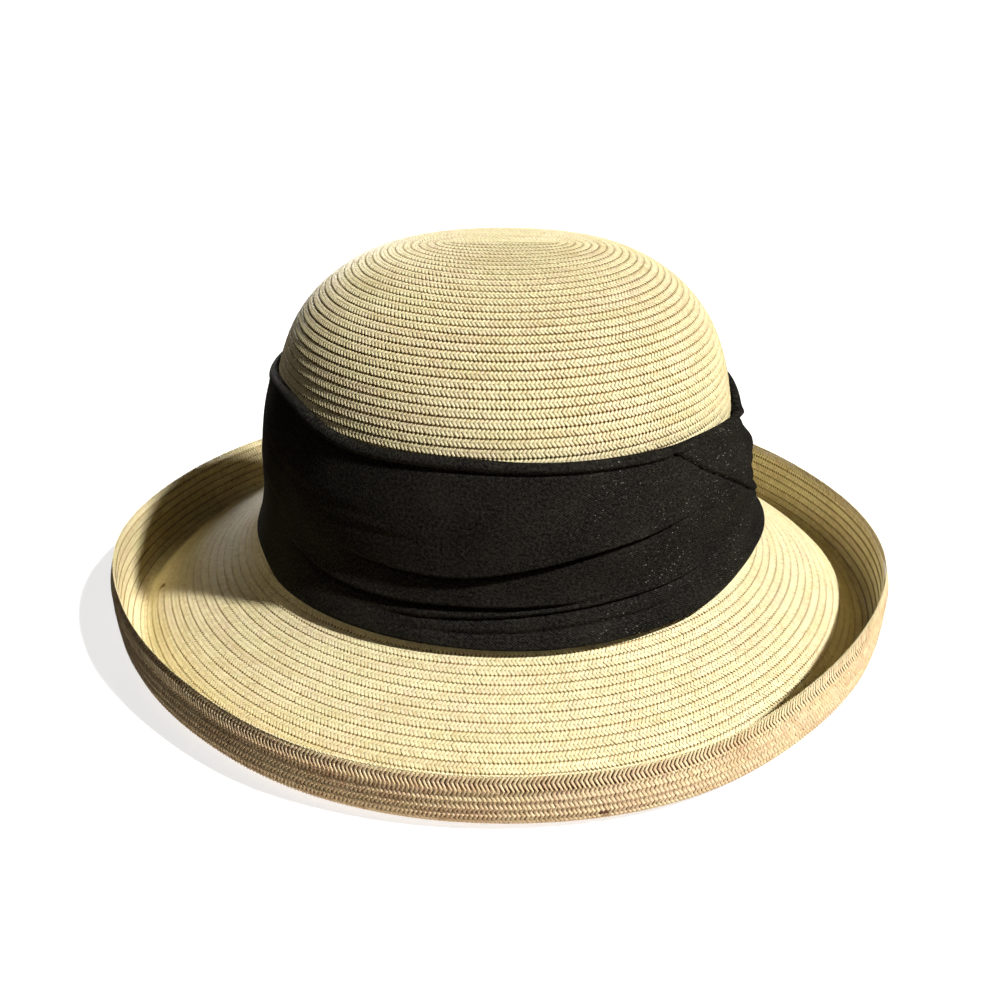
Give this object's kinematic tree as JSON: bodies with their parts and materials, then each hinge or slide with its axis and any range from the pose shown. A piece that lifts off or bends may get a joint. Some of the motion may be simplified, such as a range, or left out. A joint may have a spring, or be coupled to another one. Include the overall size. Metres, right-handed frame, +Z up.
{
  "type": "straw sun hat",
  "caption": "Domed sun hat of sewn straw braid with a sloping brim that turns up at the rim, and a wide black scarf wound round the foot of the crown.",
  "frame": {"origin": "on the surface that the hat rests on, under the middle of its box", "axes": "+Z up through the crown, +X towards the right-hand side of the brim as the hat is seen from its long side, -Y towards that viewer"},
  "size_m": [0.3268, 0.3208, 0.158],
  "materials": {
    "straw_braid": "plaited pale natural straw, sewn row by row, matt with a faint gloss on each straw",
    "edge_straw": "the same braid, laid over the rim and stitched",
    "black_scarf": "black woven viscose, soft sheen, specks of pale lint"
  },
  "bodies": {
    "root": {"crown": "straw_braid", "brim": "straw_braid", "edge_braid": "edge_straw", "scarf_band": "black_scarf"}
  },
  "joints": []
}
